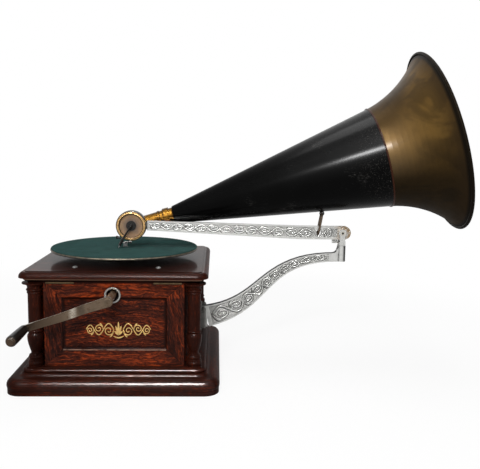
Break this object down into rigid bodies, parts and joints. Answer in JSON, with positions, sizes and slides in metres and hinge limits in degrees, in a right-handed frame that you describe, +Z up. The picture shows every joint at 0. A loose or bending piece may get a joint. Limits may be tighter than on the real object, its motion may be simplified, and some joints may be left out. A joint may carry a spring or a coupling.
{
  "type": "horn gramophone",
  "caption": "Wind-up disc gramophone: square oak case with corner columns, felt turntable, front crank, and a side bracket whose swinging arm carries soundbox, black horn and brass bell.",
  "frame": {"origin": "middle of the base's underside, on the table", "axes": "+X towards the side with the bracket and the horn's mouth, -Y towards the crank, +Z up"},
  "size_m": [0.758, 0.4221, 0.5513],
  "materials": {
    "oak": "dark stained quarter-sawn oak under gloss varnish",
    "inner_wood": "plain unvarnished pine",
    "hinge_brass": "aged brass",
    "nickel": "worn nickel plate",
    "crank_metal": "worn grey nickel over iron",
    "grip_black": "black painted turned wood",
    "motor_steel": "oiled steel",
    "spring_steel": "blued spring steel",
    "motor_brass": "turned brass",
    "felt": "dark teal green felt",
    "wire": "tarnished wire",
    "horn_black": "black gloss japan",
    "bell_brass": "brown aged brass with patina",
    "gold_brass": "gold lacquered brass",
    "black_enamel": "black enamel",
    "mica": "tan sheet mica"
  },
  "bodies": {
    "case": {"base_moulding": "oak", "bottom_board": "inner_wood", "front_frame": "oak", "back_frame": "oak", "left_frame": "oak", "right_frame": "oak", "front_panel": "oak", "back_panel": "oak", "side_panels": "oak", "corner_posts": "inner_wood", "corner_columns": "oak", "lid_board": "oak", "lid_moulding": "oak", "hinge_case_leaves": "hinge_brass", "hinge_lid_leaves": "hinge_brass", "hanger_bolts": "nickel", "crank_escutcheon": "nickel", "bracket_socket": "nickel", "socket_screws": "nickel", "bracket": "nickel", "bedplate": "motor_steel", "lower_plate": "motor_steel", "motor_pillars": "motor_steel", "spindle_bush": "hinge_brass"},
    "turntable": {"platter": "nickel", "felt_mat": "felt", "spindle": "motor_steel", "spindle_gear": "motor_brass"},
    "middle_train": {"middle_arbor": "motor_steel", "middle_gear": "motor_brass"},
    "barrel": {"spring_barrel": "motor_brass", "barrel_cap": "motor_brass", "mainspring": "spring_steel"},
    "governor": {"governor_shaft": "motor_steel", "governor_weights": "motor_brass", "governor_springs": "spring_steel", "governor_disc": "motor_brass"},
    "crank": {"crank_shaft": "crank_metal", "crank_arm": "crank_metal"},
    "grip": {"crank_grip": "grip_black"},
    "winder": {"winding_arbor": "motor_steel", "winding_wheel": "motor_brass", "ratchet_wheel": "motor_steel"},
    "click": {"click_pawl": "motor_steel"},
    "brake": {"brake_lever": "nickel"},
    "speed": {"speed_screw": "hinge_brass"},
    "yoke": {"yoke": "nickel", "yoke_pin": "nickel"},
    "arm": {"travelling_arm": "nickel", "horn_bail": "wire", "horn_clip": "gold_brass", "horn_elbow": "gold_brass", "horn_cone": "horn_black", "horn_bell": "bell_brass", "soundbox": "black_enamel", "soundbox_ring": "gold_brass", "diaphragm": "mica", "needle_bar": "black_enamel", "needle": "motor_steel"},
    "needle_clamp": {"needle_screw": "nickel"}
  },
  "joints": [
    {"name": "turntable_spin", "type": "hinge", "parent": "case", "child": "turntable", "pos_m": [0, 0, 0.206], "axis": [0, 0, 1], "continuous": true},
    {"name": "middle_spin", "type": "hinge", "parent": "case", "child": "middle_train", "pos_m": [0.03094, -0.00818, 0.095], "axis": [0, 0, 1], "continuous": true},
    {"name": "barrel_spin", "type": "hinge", "parent": "case", "child": "barrel", "pos_m": [-0.0025, -0.058, 0.09], "axis": [0, 0, 1], "continuous": true},
    {"name": "governor_spin", "type": "hinge", "parent": "case", "child": "governor", "pos_m": [0, 0.042, 0.1], "axis": [0, 0, 1], "continuous": true},
    {"name": "crank_turn", "type": "hinge", "parent": "case", "child": "crank", "pos_m": [-0.0025, -0.176, 0.1525], "axis": [0, 1, 0], "continuous": true},
    {"name": "grip_spin", "type": "hinge", "parent": "crank", "child": "grip", "pos_m": [-0.12471, -0.211, 0.11279], "axis": [0, 1, 0], "continuous": true},
    {"name": "winder_spin", "type": "hinge", "parent": "case", "child": "winder", "pos_m": [-0.0025, -0.058, 0.135], "axis": [0, 0, 1], "continuous": true},
    {"name": "click_swing", "type": "hinge", "parent": "case", "child": "click", "pos_m": [0.0225, -0.038, 0.132], "axis": [0, 0, 1], "range_deg": [0, 10]},
    {"name": "brake_swing", "type": "hinge", "parent": "case", "child": "brake", "pos_m": [0.024, 0.1312, 0.191], "axis": [0, 0, 1], "range_deg": [0, 2]},
    {"name": "speed_turn", "type": "hinge", "parent": "case", "child": "speed", "pos_m": [0, 0.131, 0.077], "axis": [0, 1, 0], "range_deg": [-180, 180]},
    {"name": "arm_swing", "type": "hinge", "parent": "case", "child": "yoke", "pos_m": [0.3816, 0, 0.2129], "axis": [0, 0, 1], "range_deg": [-60, 60]},
    {"name": "arm_tilt", "type": "hinge", "parent": "yoke", "child": "arm", "pos_m": [0.3816, 0, 0.2379], "axis": [0, 1, 0], "range_deg": [0, 30]},
    {"name": "needle_screw_turn", "type": "hinge", "parent": "arm", "child": "needle_clamp", "pos_m": [-0.00422, -0.024, 0.21972], "axis": [0.9932, 0, 0.1168], "range_deg": [-180, 180]}
  ],
  "couplings": [
    {"joint": "middle_spin", "follows": "turntable_spin", "ratio": -0.33333},
    {"joint": "barrel_spin", "follows": "turntable_spin", "ratio": 0.066667},
    {"joint": "governor_spin", "follows": "turntable_spin", "ratio": -6},
    {"joint": "winder_spin", "follows": "crank_turn", "ratio": -0.5}
  ]
}
